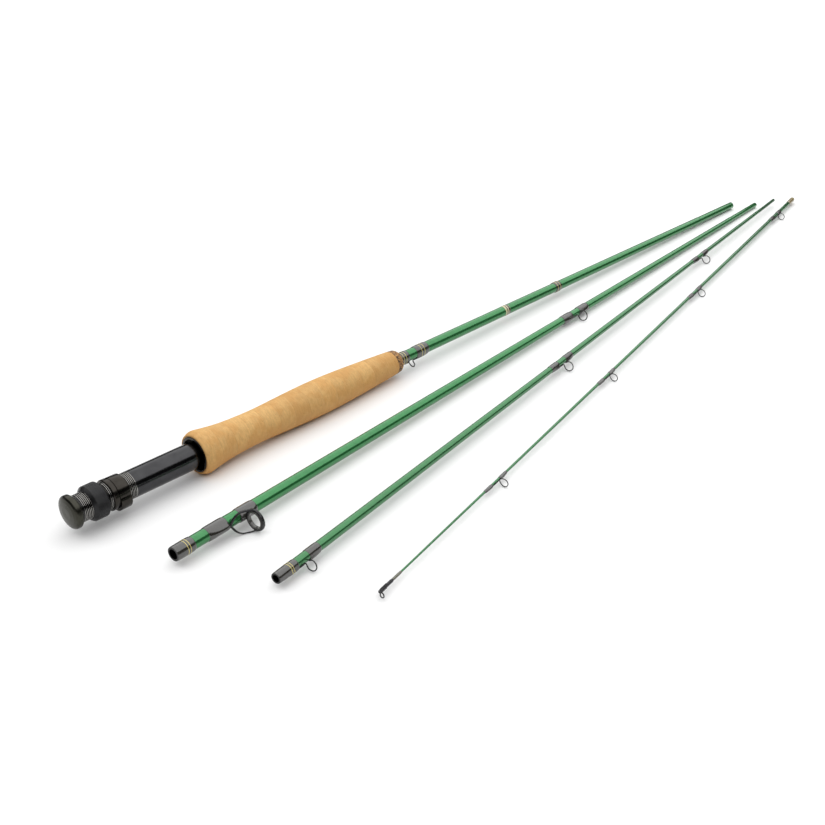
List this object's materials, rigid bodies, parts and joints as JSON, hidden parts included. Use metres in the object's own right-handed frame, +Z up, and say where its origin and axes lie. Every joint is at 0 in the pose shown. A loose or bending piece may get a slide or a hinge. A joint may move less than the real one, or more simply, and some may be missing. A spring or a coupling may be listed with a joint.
{
  "type": "fly rod",
  "caption": "Fly rod in four loose sections laid side by side, with an uplocking reel seat, turned cork grip, hook keeper, wire line guides and sleeve ferrules.",
  "frame": {"origin": "centre of the underside of the bounding box of the four sections, on the ground they lie on", "axes": "+X along the butt section from its cap to its thin end, +Y from the tip section towards the butt section, +Z up"},
  "size_m": [0.7768, 0.2028, 0.0295],
  "materials": {
    "blank_lacquer": "gloss",
    "trim_thread": "gloss",
    "olive_wrap": "gloss",
    "thread_wrap": "gloss",
    "seat_metal": "satin",
    "knurled_metal": "matte",
    "cork": "matte",
    "burl_cork": "matte",
    "ceramic": "gloss",
    "guide_wire": "satin",
    "label_ink": "gloss",
    "arbor_foam": "matte",
    "friction_plastic": "matte"
  },
  "bodies": {
    "butt": {"butt_cap": "seat_metal", "reel_seat_barrel": "seat_metal", "seat_arbors": "arbor_foam", "fore_hood": "seat_metal", "cork_grip": "cork", "burl_ring": "burl_cork", "butt_blank": "blank_lacquer", "keeper_wraps": "thread_wrap", "marker_wrap": "thread_wrap", "butt_trim_bands": "trim_thread", "hook_keeper": "guide_wire", "label_band": "label_ink"},
    "hood": {"sliding_hood": "seat_metal"},
    "hood_nut": {"hood_nut": "seat_metal"},
    "lock_ring": {"lock_nut_friction_ring": "friction_plastic"},
    "lock_nut": {"lock_nut": "knurled_metal"},
    "section_2": {"second_blank": "blank_lacquer", "second_ferrule_wrap": "thread_wrap", "second_trim_bands": "trim_thread", "stripping_guide_frame": "guide_wire", "stripping_guide_ring": "ceramic", "stripping_guide_wraps": "thread_wrap", "snake_guide_2": "guide_wire", "second_guide_wraps": "thread_wrap"},
    "section_3": {"third_blank": "blank_lacquer", "third_ferrule_wrap": "thread_wrap", "third_trim_bands": "trim_thread", "snake_guide_3": "guide_wire", "snake_guide_4": "guide_wire", "snake_guide_5": "guide_wire", "third_guide_wraps": "thread_wrap"},
    "tip": {"tip_blank": "blank_lacquer", "tip_ferrule_wrap": "thread_wrap", "tip_trim_band": "trim_thread", "tip_guide_wraps": "thread_wrap", "snake_guide_6": "guide_wire", "snake_guide_7": "guide_wire", "snake_guide_8": "guide_wire", "snake_guide_9": "guide_wire", "tip_top_tube": "guide_wire", "tip_top_loop": "guide_wire", "tip_top_wrap": "olive_wrap"}
  },
  "joints": [
    {"name": "hood_slide", "type": "slide", "parent": "butt", "child": "hood", "axis": [0.9998, 0, -0.0182], "range_m": [-0.0011, 0.012]},
    {"name": "hood_nut_spin", "type": "hinge", "parent": "hood", "child": "hood_nut", "pos_m": [-0.35928, 0.08675, 0.01589], "axis": [0.9998, 0, -0.0182], "range_deg": [-370, 4110]},
    {"name": "lock_ring_slide", "type": "slide", "parent": "butt", "child": "lock_ring", "axis": [0.9998, 0, -0.0182], "range_m": [-0.0059, 0.0011]},
    {"name": "lock_nut_spin", "type": "hinge", "parent": "lock_ring", "child": "lock_nut", "pos_m": [-0.37028, 0.08675, 0.01609], "axis": [0.9998, 0, -0.0182], "range_deg": [-2020, 370]},
    {"name": "section_2_slide", "type": "slide", "parent": "butt", "child": "section_2", "axis": [-0.9969, -0.0778, 0.0084], "range_m": [0, 0.057]},
    {"name": "section_3_slide", "type": "slide", "parent": "butt", "child": "section_3", "axis": [-0.9892, -0.1466, 0.0014], "range_m": [0, 0.05]},
    {"name": "tip_slide", "type": "slide", "parent": "butt", "child": "tip", "axis": [0.9791, 0.2033, 0], "range_m": [0, 0.039]}
  ],
  "couplings": [
    {"joint": "hood_slide", "follows": "hood_nut_spin", "m_per_rad": 0.00016711},
    {"joint": "lock_ring_slide", "follows": "lock_nut_spin", "m_per_rad": 0.00016711}
  ]
}
